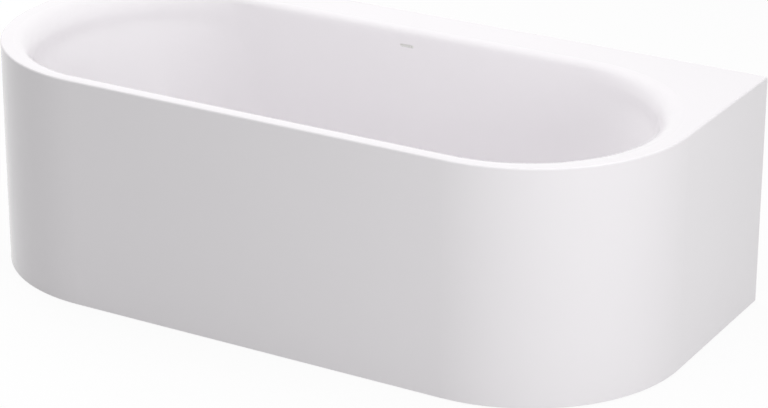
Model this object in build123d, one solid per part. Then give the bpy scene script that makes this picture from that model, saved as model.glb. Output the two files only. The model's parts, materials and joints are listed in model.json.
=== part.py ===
from build123d import *
import os
from math import cos, pi, radians, sin, sqrt, tan
from typing import NamedTuple

# A back-to-wall bath: an oval basin in a D-shaped rim deck, with a one-piece outer skirt.
# Millimetres. X runs along the bath, Y towards the wall, Z up. Z = 0 is the floor under
# the feet, and the origin is below the middle of the bath's plan box.

# Overall sizes
LENGTH = 1800.0
WIDTH = 850.0
HEIGHT = 575.0
CORNER_RADIUS = 400.0
DRAIN_HEIGHT = 125.0

# Acrylic with its laminate, and the rim deck round the basin
SKIN = 5.0
RIM_EDGE_RADIUS = 4.5
FRONT_RIM = 27.0
BACK_DECK = 103.0
END_RIM = 37.0
DOWNTURN_HEIGHT = 15.0


class Side(NamedTuple):
    """One side of the basin: its lip radius, lean from upright in degrees and toe radius."""

    lip: float
    lean: float
    toe: float


# Basin
FRONT_SIDE = Side(lip=12.0, lean=7.0, toe=80.0)
BACK_SIDE = Side(lip=20.0, lean=8.0, toe=80.0)
END_SIDE = Side(lip=60.0, lean=22.0, toe=110.0)
FLOOR_FALL = 5.0
SUMP_RADIUS = 50.0
SUMP_STRAIGHT = 30.0
LIP_STEPS = 8
WALL_STEPS = 5
TOE_STEPS = 8

# Skirt
FLOOR_GAP = 2.0
SKIRT_FLANGE = 20.0
SKIRT_RETURN = 25.0

# Battens bonded under the rim
BATTEN_GAP = 0.3
BATTEN_HEIGHT = 28.0
FRONT_BATTEN_WIDTH = 17.0
FRONT_BATTEN_INSET = 20.0
SIDE_BATTEN_WIDTH = 18.0
SIDE_BATTEN_SETBACK = 14.0
BACK_BATTEN_WIDTH = 56.0
BACK_BATTEN_HEIGHT = 18.0
BACK_BATTEN_INSET = 280.0
BACK_BATTEN_SETBACK = 12.0

# Base board and leg rails
BOARD_OVERHANG = 50.0
BOARD_WIDTH = 320.0
BOARD_THICKNESS = 18.0
BOARD_CORNER = 30.0
BOARD_HOLE_RADIUS = 62.0
RAIL_INSET = 60.0
RAIL_FRONT_SETBACK = 40.0
RAIL_BACK_SETBACK = 163.0
RAIL_WIDTH = 40.0
RAIL_HEIGHT = 25.0
RAIL_GAUGE = 2.0
RAIL_SCREW_INSET = 35.0
RAIL_SCREW_PITCH = 50.0

# Adjustable feet
FOOT_FRONT_INSET = 75.0
FOOT_BACK_INSET = 28.0
FOOT_TRAVEL = 12.0
STUD_RADIUS = 5.0
STUD_SPARE = 4.0
STUD_CHAMFER = 1.0
THREAD_CLEARANCE = 0.05
NUT_FLATS = 17.0
NUT_HEIGHT = 8.0
HEAD_HEIGHT = 7.0
PAD_RADIUS = 25.0
PAD_THICKNESS = 6.0
PAD_SOLE = 9.0
PAD_BOSS_RADIUS = 13.5
PAD_BOSS_HEIGHT = 21.0
HEAD_CLEARANCE = 0.1

# Screws and bolts
SCREW_RADIUS = 2.0
SCREW_HEAD_RADIUS = 4.5
SCREW_HEAD_HEIGHT = 3.0
SCREW_BITE = 14.0
SCREW_END_ROOM = 1.0
PILOT_CLEARANCE = 0.05
BOLT_RADIUS = 3.0
BOLT_HEAD_FLATS = 10.0
BOLT_HEAD_HEIGHT = 4.0
BOLT_HOLE_CLEARANCE = 0.3

# Brackets to the wall and to the skirt
BRACKET_GAUGE = 3.0
BRACKET_WIDTH = 60.0
WALL_BRACKET_INSET = 120.0
WALL_BRACKET_DROP = 95.0
WALL_BRACKET_REACH = 58.0
WALL_SLOT_LENGTH = 24.0
WALL_SLOT_WIDTH = 7.0
WALL_SLOT_DROP = 62.0
SKIRT_BRACKET_HEIGHT = 60.0
SKIRT_BRACKET_OVERLAP = 30.0

# Waste fitting at the basin's lowest point
WASTE_HOLE_RADIUS = 26.5
FLANGE_RADIUS = 35.0
FLANGE_THICKNESS = 2.5
FLANGE_TUBE_RADIUS = 25.5
FLANGE_TUBE_WALL = 3.0
FLANGE_TUBE_LENGTH = 22.0
UPPER_SEAL_THICKNESS = 1.0
SEAL_SETBACK = 1.0
HUB_RADIUS = 9.5
HUB_HEIGHT = 6.0
SPIDER_ARMS = 4
SPIDER_ARM_WIDTH = 3.0
LOWER_SEAL_THICKNESS = 3.0
WASTE_BODY_RADIUS = 30.0
WASTE_BODY_WALL = 3.5
WASTE_BODY_FLANGE_RADIUS = 42.0
WASTE_BODY_FLANGE = 5.0
WASTE_DEPTH = 75.0
WASTE_BOLT_RADIUS = 5.0
WASTE_BOLT_HEAD_RADIUS = 8.0
WASTE_BOLT_HEAD = 4.0
WASTE_BOLT_BITE = 14.0

# Plug that lifts on a stem
PLUG_LIFT = 9.0
PLUG_RADIUS = 31.0
PLUG_THICKNESS = 3.0
PLUG_CROWN = 1.8
PLUG_SEAL_INNER = 18.0
PLUG_SEAL_OUTER = 29.0
PLUG_SEAL_THICKNESS = 1.6
PLUG_SEAT_GAP = 0.2
STEM_RADIUS = 3.0
STEM_GUIDE = 19.0
STEM_RUNNING_CLEARANCE = 0.05

# Trap and outlet pipe
PIPE_RADIUS = 20.0
PIPE_WALL = 2.5
OUTLET_RISE = 24.0
TRAP_FLOOR_GAP = 8.0
TRAP_BEND = 22.0
SPIGOT_END_X = 58.0
TRAP_DOWN_X = 100.0
TRAP_UP_X = 170.0
TRAP_END_X = 232.0
PIPE_JOINT_GAP = 0.3
OUTLET_TURN_X = 292.0
OUTLET_BEND = 30.0
OUTLET_REACH = 120.0
COUPLING_WALL = 6.0
COUPLING_LENGTH = 22.0
COUPLING_CLEARANCE = 0.1
COUPLING_GRIPS = 12
CLEANING_PORT_RADIUS = 16.0
CLEANING_PORT_REACH = 30.0
CLEANING_CAP_RADIUS = 18.5
CLEANING_CAP_THICKNESS = 9.0
CLEANING_CAP_CHAMFER = 1.5
CLEANING_GRIP_LENGTH = 28.0
CLEANING_GRIP_WIDTH = 5.0
CLEANING_GRIP_HEIGHT = 4.5

# Overflow behind the slot in the back wall
OVERFLOW_DROP = 44.0
SLOT_LENGTH = 38.0
SLOT_WIDTH = 7.0
PAD_LENGTH = 92.0
PAD_HEIGHT = 34.0
PAD_BUILD_UP = 7.0
GASKET_THICKNESS = 3.0
GASKET_LENGTH = 60.0
GASKET_HEIGHT = 26.0
GASKET_CORNER = 4.0
GASKET_SLOT_MARGIN = 2.0
HOUSING_LENGTH = 62.0
HOUSING_HEIGHT = 32.0
HOUSING_DEPTH = 30.0
HOUSING_WALL = 2.5
HOUSING_CORNER = 6.0
HOUSING_ROOM_MARGIN = 5.0
HOUSING_FLANGE = 4.0
OVERFLOW_SCREW_X = 39.0
HOSE_SPIGOT_RADIUS = 12.5
HOSE_SPIGOT_WALL = 2.5
HOSE_SPIGOT_LENGTH = 40.0
HOSE_RISE = 32.0
HOSE_BEND = 95.0
HOSE_BORE = 9.5
HOSE_ROOT = 11.0
HOSE_CREST = 14.0
HOSE_CUFF_RADIUS = 12.5
HOSE_CUFF_LENGTH = 23.5
HOSE_CUFF_TAPER = 1.5
HOSE_RIB_PITCH = 14.0
HOSE_RIB_FLANK = 0.08
HOSE_RIB_TOP = 0.3
HOSE_INLET_REACH = 26.0

# Places worked out from the sizes above
BACK_Y = WIDTH / 2
FRONT_Y = -WIDTH / 2
END_X = LENGTH / 2
DECK_UNDERSIDE = HEIGHT - SKIN
BASIN_FRONT = FRONT_Y + FRONT_RIM
BASIN_BACK = BACK_Y - BACK_DECK
BASIN_END = END_X - END_RIM
BASIN_DEPTH = HEIGHT - DRAIN_HEIGHT
DRAIN_Y = (BASIN_FRONT + BASIN_BACK) / 2
TUB_UNDERSIDE = DRAIN_HEIGHT - SKIN
FRONT_STRAIGHT = END_X - CORNER_RADIUS
SIDE_STRAIGHT = WIDTH - CORNER_RADIUS
BACK_BATTEN_END = END_X - BACK_BATTEN_INSET
WALL_BRACKET_X = BACK_BATTEN_END - WALL_BRACKET_INSET
BOARD_UNDERSIDE = TUB_UNDERSIDE - BOARD_THICKNESS
RAIL_UNDERWEB = BOARD_UNDERSIDE - RAIL_GAUGE
RAIL_X = FRONT_STRAIGHT - RAIL_INSET
RAIL_FRONT = FRONT_Y + RAIL_FRONT_SETBACK
RAIL_BACK = BACK_Y - RAIL_BACK_SETBACK
BOARD_LENGTH = 2 * (RAIL_X + BOARD_OVERHANG)
FOOT_FRONT_Y = RAIL_FRONT + FOOT_FRONT_INSET
FOOT_BACK_Y = RAIL_BACK - FOOT_BACK_INSET
STUD_TOP = BOARD_UNDERSIDE + FOOT_TRAVEL + STUD_SPARE
FEET = {
    "front_left": (-RAIL_X, FOOT_FRONT_Y),
    "front_right": (RAIL_X, FOOT_FRONT_Y),
    "back_left": (-RAIL_X, FOOT_BACK_Y),
    "back_right": (RAIL_X, FOOT_BACK_Y),
}
FLANGE_UNDERSIDE = DRAIN_HEIGHT + UPPER_SEAL_THICKNESS
FLANGE_TOP = FLANGE_UNDERSIDE + FLANGE_THICKNESS
HUB_BOTTOM = FLANGE_UNDERSIDE - FLANGE_TUBE_LENGTH
HUB_TOP = HUB_BOTTOM + HUB_HEIGHT
WASTE_BODY_TOP = TUB_UNDERSIDE - LOWER_SEAL_THICKNESS
WASTE_BODY_BOTTOM = DRAIN_HEIGHT - WASTE_DEPTH
WASTE_BOLT_TOP = HUB_TOP + WASTE_BOLT_HEAD
PLUG_SEAL_Z = FLANGE_TOP + PLUG_SEAT_GAP
PLUG_Z = PLUG_SEAL_Z + PLUG_SEAL_THICKNESS
STEM_FOOT = WASTE_BOLT_TOP - PLUG_LIFT - STEM_GUIDE
OUTLET_Z = WASTE_BODY_BOTTOM + OUTLET_RISE
TRAP_LOW_Z = PIPE_RADIUS + TRAP_FLOOR_GAP
HOSE_Z = WASTE_BODY_BOTTOM + HOSE_RISE
HOSE_END_Y = DRAIN_Y + WASTE_BODY_RADIUS + HOSE_INLET_REACH


def cylinder(radius, low, high, x=0.0, y=0.0):
    """An upright cylinder between two heights."""
    return Pos(x, y, low) * extrude(Circle(radius), high - low)


def ring(outer, inner, low, high, x=0.0, y=0.0):
    """An upright tube between two heights."""
    return Pos(x, y, low) * extrude(Circle(outer) - Circle(inner), high - low)


def block(low, high):
    """A box given by its lowest and highest corners."""
    size = [b - a for a, b in zip(low, high)]
    middle = [(a + b) / 2 for a, b in zip(low, high)]
    return Pos(*middle) * Box(*size)


def hexagon(flats, low, high, x=0.0, y=0.0):
    """An upright hexagonal prism, measured across its flats."""
    return Pos(x, y, low) * extrude(RegularPolygon(flats / 2, 6, major_radius=False), high - low)


def group(solids):
    """Like pieces kept as separate solids in one sub-part."""
    return Compound(children=[one.solid() for one in solids])


def deck_outline(inset, back):
    """The D-shaped plan: straight at the wall and round at its two front corners."""
    half = END_X - inset
    front = FRONT_Y + inset
    radius = CORNER_RADIUS - inset
    return make_face(
        [
            Line((-half + radius, front), (half - radius, front)),
            CenterArc((half - radius, front + radius), radius, 270, 90),
            Line((half, front + radius), (half, back)),
            Line((half, back), (-half, back)),
            Line((-half, back), (-half, front + radius)),
            CenterArc((-half + radius, front + radius), radius, 180, 90),
        ]
    )


def oval(front, back, end):
    """A level section of the basin: two straights joined by half circles."""
    radius = (back - front) / 2
    middle = (back + front) / 2
    straight = end - radius
    return make_face(
        [
            Line((-straight, front), (straight, front)),
            CenterArc((straight, middle), radius, 270, 90),
            CenterArc((straight, middle), radius, 0, 90),
            Line((straight, back), (-straight, back)),
            CenterArc((-straight, middle), radius, 90, 90),
            CenterArc((-straight, middle), radius, 180, 90),
        ]
    )


def wall_inset(side, depth, skin, floor):
    """How far a wall stands in from the rim's inner edge, at a depth below the deck."""
    if depth < side.lip:
        return sqrt(max(0.0, (side.lip - skin) ** 2 - (side.lip - depth) ** 2))
    inset = side.lip - skin + (depth - side.lip) * tan(radians(side.lean))
    toe = side.toe + skin
    into_toe = min(depth - (floor - side.toe), toe)
    if into_toe > 0:
        inset += toe - sqrt(toe**2 - into_toe**2)
    return inset


def basin_section(depth, skin, floor):
    """The basin's level section at a depth, inside (no skin) or outside (with its skin)."""
    face = oval(
        BASIN_FRONT + wall_inset(FRONT_SIDE, depth, skin, floor),
        BASIN_BACK - wall_inset(BACK_SIDE, depth, skin, floor),
        BASIN_END - wall_inset(END_SIDE, depth, skin, floor),
    )
    return Pos(0, 0, HEIGHT - depth) * face


def basin_form(skin, floor):
    """The basin's bulk from the deck to its floor, close-stepped where the walls turn."""
    top, bottom = skin, floor + skin
    lip_end = END_SIDE.lip
    toe_start = floor - END_SIDE.toe
    depths = [top + (lip_end - top) * (i / LIP_STEPS) ** 2 for i in range(LIP_STEPS)]
    depths += [lip_end + (toe_start - lip_end) * i / WALL_STEPS for i in range(WALL_STEPS)]
    depths += [bottom - (bottom - toe_start) * (i / TOE_STEPS) ** 2 for i in range(TOE_STEPS, -1, -1)]
    return loft([basin_section(depth, skin, floor) for depth in depths])


def basin_space():
    """The water's space: the basin inside, with a floor that falls to the drain."""
    floor = BASIN_DEPTH - FLOOR_FALL
    edge = basin_section(floor, 0.0, floor)
    sump = Pos(0, 0, DRAIN_HEIGHT) * oval(
        DRAIN_Y - SUMP_RADIUS, DRAIN_Y + SUMP_RADIUS, SUMP_STRAIGHT + SUMP_RADIUS
    )
    return basin_form(0.0, floor) + loft([edge, sump], ruled=True)


def overflow_plane():
    """A plane on the back wall's outer face at the overflow: x along the bath, y down it."""
    lean = radians(BACK_SIDE.lean)
    stand = wall_inset(BACK_SIDE, OVERFLOW_DROP, SKIN, BASIN_DEPTH)
    origin = (0, BASIN_BACK - stand, HEIGHT - OVERFLOW_DROP)
    return Plane(origin=origin, x_dir=(1, 0, 0), z_dir=(0, cos(lean), -sin(lean)))


def tub_shell():
    """The basin and rim deck, one moulding, with its overflow slot and drain hole."""
    deck = extrude(deck_outline(0.0, BACK_Y), SKIN)
    deck = Pos(0, 0, DECK_UNDERSIDE) * deck
    outer_edges = [
        edge
        for edge in deck.edges().group_by(Axis.Z)[-1]
        if edge.center().Y < BACK_Y - RIM_EDGE_RADIUS
    ]
    deck = fillet(outer_edges, RIM_EDGE_RADIUS)
    downturn_half = END_X - SKIN - SKIRT_RETURN - BATTEN_GAP
    downturn = block(
        (-downturn_half, BACK_Y - SKIN, DECK_UNDERSIDE - DOWNTURN_HEIGHT),
        (downturn_half, BACK_Y, DECK_UNDERSIDE),
    )
    plane = overflow_plane()
    build_up = plane * extrude(RectangleRounded(PAD_LENGTH, PAD_HEIGHT, SKIN), PAD_BUILD_UP)
    build_up += plane * extrude(Rectangle(PAD_LENGTH, PAD_HEIGHT), -SKIN / 2)
    slot = plane * Pos(0, 0, -3 * SKIN) * extrude(SlotOverall(SLOT_LENGTH, SLOT_WIDTH), 6 * SKIN)
    pilots = [
        plane * Pos(x, 0, 0) * extrude(Circle(SCREW_RADIUS + PILOT_CLEARANCE), PAD_BUILD_UP)
        for x in (-OVERFLOW_SCREW_X, OVERFLOW_SCREW_X)
    ]
    drain = cylinder(WASTE_HOLE_RADIUS, TUB_UNDERSIDE - SKIN, DRAIN_HEIGHT + SKIN, y=DRAIN_Y)
    water = basin_space()
    basin = basin_form(SKIN, BASIN_DEPTH) + build_up - water
    rim = deck + downturn - water
    return rim + basin - slot - drain - pilots


def skirt():
    """The one-piece outer skirt: upright walls, a foot flange and a return at the wall."""
    low = FLOOR_GAP
    body = Pos(0, 0, low) * extrude(deck_outline(0.0, BACK_Y), DECK_UNDERSIDE - low)
    room = extrude(deck_outline(SKIN, BACK_Y - SKIN), DECK_UNDERSIDE)
    room = Pos(0, 0, low + SKIN) * room
    foot_opening = extrude(deck_outline(SKIN + SKIRT_FLANGE, BACK_Y - SKIN), DECK_UNDERSIDE)
    half = END_X - SKIN - SKIRT_RETURN
    back_opening = block((-half, 0, 0), (half, BACK_Y + SKIN, HEIGHT))
    return body - room - foot_opening - back_opening


def pilot_holes(places, low):
    """Blind holes for screws that are driven up into wood."""
    top = low + SCREW_BITE + SCREW_END_ROOM
    return [cylinder(SCREW_RADIUS + PILOT_CLEARANCE, low, top, x, y) for x, y in places]


def front_batten():
    """The batten bonded under the front rim."""
    half = FRONT_STRAIGHT - FRONT_BATTEN_INSET
    face = FRONT_Y + SKIN + BATTEN_GAP
    return block(
        (-half, face, DECK_UNDERSIDE - BATTEN_HEIGHT),
        (half, face + FRONT_BATTEN_WIDTH, DECK_UNDERSIDE),
    )


def back_batten():
    """The wide batten under the back deck, which the wall brackets are screwed to."""
    face = BACK_Y - BACK_BATTEN_SETBACK
    low = DECK_UNDERSIDE - BACK_BATTEN_HEIGHT
    batten = block(
        (-BACK_BATTEN_END, face - BACK_BATTEN_WIDTH, low), (BACK_BATTEN_END, face, DECK_UNDERSIDE)
    )
    return batten - pilot_holes(wall_bracket_screws(), low)


def side_batten(sign):
    """A batten under the rim, along one end's straight."""
    face = END_X - SIDE_BATTEN_SETBACK
    back = BACK_Y - BACK_BATTEN_SETBACK
    near, far = sorted((sign * (face - SIDE_BATTEN_WIDTH), sign * face))
    return block(
        (near, BACK_Y - SIDE_STRAIGHT, DECK_UNDERSIDE - BATTEN_HEIGHT), (far, back, DECK_UNDERSIDE)
    )


def base_board():
    """The board bonded under the basin's floor, open round the waste fitting."""
    board = Pos(0, DRAIN_Y, BOARD_UNDERSIDE) * extrude(
        RectangleRounded(BOARD_LENGTH, BOARD_WIDTH, BOARD_CORNER), BOARD_THICKNESS
    )
    board -= cylinder(BOARD_HOLE_RADIUS, BOARD_UNDERSIDE, TUB_UNDERSIDE, y=DRAIN_Y)
    return board - pilot_holes(rail_screw_places(), BOARD_UNDERSIDE)


def rail_screw_places():
    """Where the rails are screwed to the base board, two screws near each of its edges."""
    outer = BOARD_WIDTH / 2 - RAIL_SCREW_INSET
    inner = outer - RAIL_SCREW_PITCH
    return [(x, DRAIN_Y + y) for x in (-RAIL_X, RAIL_X) for y in (-outer, -inner, inner, outer)]


def screws(places, head_top, bite):
    """Round-headed screws that point up, with their heads under a plate."""
    made = []
    for x, y in places:
        head = cylinder(SCREW_HEAD_RADIUS, head_top - SCREW_HEAD_HEIGHT, head_top, x, y)
        head = fillet(head.edges().sort_by(Axis.Z)[0], SCREW_HEAD_HEIGHT / 2)
        made.append(head + cylinder(SCREW_RADIUS, head_top, head_top + bite, x, y))
    return group(made)


def leg_rail(sign):
    """A folded steel channel, open below, that carries two feet."""
    x = sign * RAIL_X
    profile = Rectangle(RAIL_WIDTH, RAIL_HEIGHT) - Pos(0, -RAIL_GAUGE) * Rectangle(
        RAIL_WIDTH - 2 * RAIL_GAUGE, RAIL_HEIGHT
    )
    section = Plane(
        origin=(x, RAIL_FRONT, BOARD_UNDERSIDE - RAIL_HEIGHT / 2),
        x_dir=(1, 0, 0),
        z_dir=(0, -1, 0),
    )
    rail = extrude(section * profile, -(RAIL_BACK - RAIL_FRONT))
    holes = [(STUD_RADIUS, *place) for place in FEET.values()]
    holes += [(SCREW_RADIUS, *place) for place in rail_screw_places()]
    holes += [(BOLT_RADIUS, *skirt_bracket_bolt(sign))]
    for radius, hole_x, hole_y in holes:
        if hole_x == x:
            rail -= cylinder(
                radius + BOLT_HOLE_CLEARANCE, RAIL_UNDERWEB, BOARD_UNDERSIDE, hole_x, hole_y
            )
    return rail


def foot_nuts(top):
    """One hexagonal nut on each foot's stud."""
    return group(
        hexagon(NUT_FLATS, top - NUT_HEIGHT, top, x, y)
        - cylinder(STUD_RADIUS + THREAD_CLEARANCE, top - NUT_HEIGHT, top, x, y)
        for x, y in FEET.values()
    )


def foot_stud(x, y):
    """The stud that turns in its nuts to raise or lower a foot."""
    stud = cylinder(STUD_RADIUS, PAD_SOLE + HEAD_HEIGHT, STUD_TOP, x, y)
    stud = chamfer(stud.edges().sort_by(Axis.Z)[-1], STUD_CHAMFER)
    return stud + hexagon(NUT_FLATS, PAD_SOLE, PAD_SOLE + HEAD_HEIGHT, x, y)


def foot_pad(x, y):
    """The round plastic foot, with a pocket that the stud's head turns in."""
    pocket = NUT_FLATS / sqrt(3) + HEAD_CLEARANCE
    sole = cylinder(PAD_RADIUS, 0, PAD_THICKNESS, x, y)
    sole = fillet(sole.edges().sort_by(Axis.Z)[-1], PAD_THICKNESS / 3)
    pad = sole + cylinder(PAD_BOSS_RADIUS, 0, PAD_BOSS_HEIGHT, x, y)
    pad -= cylinder(
        pocket, PAD_SOLE - HEAD_CLEARANCE, PAD_SOLE + HEAD_HEIGHT + HEAD_CLEARANCE, x, y
    )
    return pad - cylinder(STUD_RADIUS + BOLT_HOLE_CLEARANCE, PAD_SOLE, PAD_BOSS_HEIGHT, x, y)


def wall_bracket_screws():
    """Where the wall brackets are screwed up into the back batten."""
    y = BACK_Y - BACK_BATTEN_SETBACK - BACK_BATTEN_WIDTH / 2
    step = BRACKET_WIDTH / 4
    return [(x + offset, y) for x in (-WALL_BRACKET_X, WALL_BRACKET_X) for offset in (-step, step)]


def wall_bracket(sign):
    """A steel angle: one leg under the back batten, the other slotted for the wall screw."""
    middle = sign * WALL_BRACKET_X
    near, far = middle - BRACKET_WIDTH / 2, middle + BRACKET_WIDTH / 2
    top = DECK_UNDERSIDE - BACK_BATTEN_HEIGHT
    upright = block((near, BACK_Y - BRACKET_GAUGE, top - WALL_BRACKET_DROP), (far, BACK_Y, top))
    tongue = block((near, BACK_Y - WALL_BRACKET_REACH, top - BRACKET_GAUGE), (far, BACK_Y, top))
    bracket = upright + tongue
    slot = Plane(
        origin=(middle, BACK_Y, top - WALL_SLOT_DROP), x_dir=(1, 0, 0), z_dir=(0, -1, 0)
    )
    bracket -= extrude(slot * SlotOverall(WALL_SLOT_LENGTH, WALL_SLOT_WIDTH), BRACKET_GAUGE)
    for x, y in wall_bracket_screws():
        bracket -= cylinder(SCREW_RADIUS + BOLT_HOLE_CLEARANCE, top - BRACKET_GAUGE, top, x, y)
    return bracket


def skirt_bracket_bolt(sign):
    """The centre of a skirt bracket's bolt."""
    return sign * RAIL_X, RAIL_FRONT + SKIRT_BRACKET_OVERLAP / 2


def skirt_bracket(sign):
    """A steel angle from a rail's front end to the inside of the skirt."""
    x, bolt_y = skirt_bracket_bolt(sign)
    face = FRONT_Y + SKIN
    near, far = x - BRACKET_WIDTH / 2, x + BRACKET_WIDTH / 2
    top = BOARD_UNDERSIDE + BRACKET_GAUGE
    upright = block((near, face, top - SKIRT_BRACKET_HEIGHT), (far, face + BRACKET_GAUGE, top))
    tongue = block((near, face, BOARD_UNDERSIDE), (far, RAIL_FRONT + SKIRT_BRACKET_OVERLAP, top))
    hole = cylinder(BOLT_RADIUS + BOLT_HOLE_CLEARANCE, BOARD_UNDERSIDE, top, x, bolt_y)
    return upright + tongue - hole


def skirt_bolts():
    """Bolts down through the skirt brackets and the rails."""
    top = BOARD_UNDERSIDE + BRACKET_GAUGE
    foot = RAIL_UNDERWEB - 2 * BOLT_HEAD_HEIGHT
    made = []
    for sign in (-1, 1):
        x, y = skirt_bracket_bolt(sign)
        head = hexagon(BOLT_HEAD_FLATS, top, top + BOLT_HEAD_HEIGHT, x, y)
        made.append(head + cylinder(BOLT_RADIUS, foot, top, x, y))
    return group(made)


def skirt_nuts():
    """Nuts under the rails on the skirt brackets' bolts."""
    made = []
    for sign in (-1, 1):
        x, y = skirt_bracket_bolt(sign)
        low = RAIL_UNDERWEB - BOLT_HEAD_HEIGHT
        bore = cylinder(BOLT_RADIUS + THREAD_CLEARANCE, low, RAIL_UNDERWEB, x, y)
        made.append(hexagon(BOLT_HEAD_FLATS, low, RAIL_UNDERWEB, x, y) - bore)
    return group(made)


def waste_flange():
    """The flange in the basin, its tube through the floor and the spider at its foot."""
    inner = FLANGE_TUBE_RADIUS - FLANGE_TUBE_WALL
    plate = ring(FLANGE_RADIUS, inner, FLANGE_UNDERSIDE, FLANGE_TOP, y=DRAIN_Y)
    plate = fillet(plate.edges().group_by(Axis.Z)[-1], FLANGE_THICKNESS / 3)
    tube = ring(FLANGE_TUBE_RADIUS, inner, HUB_BOTTOM, FLANGE_UNDERSIDE, y=DRAIN_Y)
    hub = cylinder(HUB_RADIUS, HUB_BOTTOM, HUB_TOP, y=DRAIN_Y)
    arm_length = inner + FLANGE_TUBE_WALL / 2
    arms = [
        Pos(0, DRAIN_Y, (HUB_BOTTOM + HUB_TOP) / 2)
        * Rot(0, 0, 360 * i / SPIDER_ARMS)
        * Pos(arm_length / 2, 0, 0)
        * Box(arm_length, SPIDER_ARM_WIDTH, HUB_HEIGHT)
        for i in range(SPIDER_ARMS)
    ]
    bore = cylinder(WASTE_BOLT_RADIUS + THREAD_CLEARANCE, HUB_BOTTOM, HUB_TOP, y=DRAIN_Y)
    return plate + tube + hub + arms - bore


def waste_upper_seal():
    """The thin seal between the flange and the basin's floor."""
    outer = FLANGE_RADIUS - SEAL_SETBACK
    return ring(outer, WASTE_HOLE_RADIUS, DRAIN_HEIGHT, FLANGE_UNDERSIDE, y=DRAIN_Y)


def waste_lower_seal():
    """The thick seal between the waste body and the tub's underside."""
    outer = WASTE_BODY_FLANGE_RADIUS - SEAL_SETBACK
    return ring(outer, WASTE_HOLE_RADIUS, WASTE_BODY_TOP, TUB_UNDERSIDE, y=DRAIN_Y)


def waste_body():
    """The cup under the floor, with a bolt boss, a pipe outlet and an overflow inlet."""
    inner = WASTE_BODY_RADIUS - WASTE_BODY_WALL
    floor = WASTE_BODY_BOTTOM + WASTE_BODY_WALL
    flange_low = WASTE_BODY_TOP - WASTE_BODY_FLANGE
    body = cylinder(WASTE_BODY_RADIUS, WASTE_BODY_BOTTOM, WASTE_BODY_TOP, y=DRAIN_Y)
    body += cylinder(WASTE_BODY_FLANGE_RADIUS, flange_low, WASTE_BODY_TOP, y=DRAIN_Y)
    outlet = Plane(origin=(0, DRAIN_Y, OUTLET_Z), x_dir=(0, 1, 0), z_dir=(1, 0, 0))
    inlet = Plane(origin=(0, DRAIN_Y, HOSE_Z), x_dir=(1, 0, 0), z_dir=(0, 1, 0))
    inlet_length = WASTE_BODY_RADIUS + HOSE_INLET_REACH
    body += extrude(outlet * Circle(PIPE_RADIUS), SPIGOT_END_X)
    body += extrude(inlet * Circle(HOSE_SPIGOT_RADIUS), inlet_length)
    body -= cylinder(inner, floor, WASTE_BODY_TOP, y=DRAIN_Y)
    body -= extrude(outlet * Circle(PIPE_RADIUS - PIPE_WALL), SPIGOT_END_X)
    body -= extrude(inlet * Circle(HOSE_SPIGOT_RADIUS - HOSE_SPIGOT_WALL), inlet_length)
    boss_top = floor + WASTE_BOLT_BITE
    body += cylinder(HUB_RADIUS, WASTE_BODY_BOTTOM, boss_top, y=DRAIN_Y)
    return body - cylinder(WASTE_BOLT_RADIUS + THREAD_CLEARANCE, floor, boss_top, y=DRAIN_Y)


def waste_bolt():
    """The hollow bolt that draws the flange and the waste body together."""
    low = WASTE_BODY_BOTTOM + WASTE_BODY_WALL + SCREW_END_ROOM
    bolt = cylinder(WASTE_BOLT_RADIUS, low, HUB_TOP, y=DRAIN_Y)
    bolt += cylinder(WASTE_BOLT_HEAD_RADIUS, HUB_TOP, WASTE_BOLT_TOP, y=DRAIN_Y)
    guide_foot = STEM_FOOT - STEM_RADIUS
    guide = cylinder(STEM_RADIUS + STEM_RUNNING_CLEARANCE, guide_foot, WASTE_BOLT_TOP, y=DRAIN_Y)
    return bolt - guide


def plug_cap():
    """The crowned cap over the waste, with a socket for its stem."""
    crown = PLUG_Z + PLUG_THICKNESS + PLUG_CROWN
    crown_radius = (PLUG_RADIUS**2 + PLUG_CROWN**2) / (2 * PLUG_CROWN)
    dome = Pos(0, DRAIN_Y, crown - crown_radius) * Sphere(crown_radius)
    cap = cylinder(PLUG_RADIUS, PLUG_Z, crown, y=DRAIN_Y) & dome
    cap = fillet(cap.edges().filter_by(GeomType.CIRCLE), PLUG_THICKNESS / 3)
    socket = STEM_RADIUS + PILOT_CLEARANCE
    return cap - cylinder(socket, PLUG_Z, PLUG_Z + PLUG_THICKNESS / 2, y=DRAIN_Y)


def plug_seal():
    """The rubber ring under the cap that closes on the flange."""
    return ring(PLUG_SEAL_OUTER, PLUG_SEAL_INNER, PLUG_SEAL_Z, PLUG_Z, y=DRAIN_Y)


def plug_stem():
    """The stem that slides in the waste bolt."""
    return cylinder(STEM_RADIUS, STEM_FOOT, PLUG_Z + PLUG_THICKNESS / 2, y=DRAIN_Y)


def pipe_form(points, bends, radius):
    """A solid round bar along straight runs joined by bends."""
    path = FilletPolyline(*points, radius=bends)
    return sweep(Plane(origin=path @ 0, z_dir=path % 0) * Circle(radius), path=path)


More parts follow.
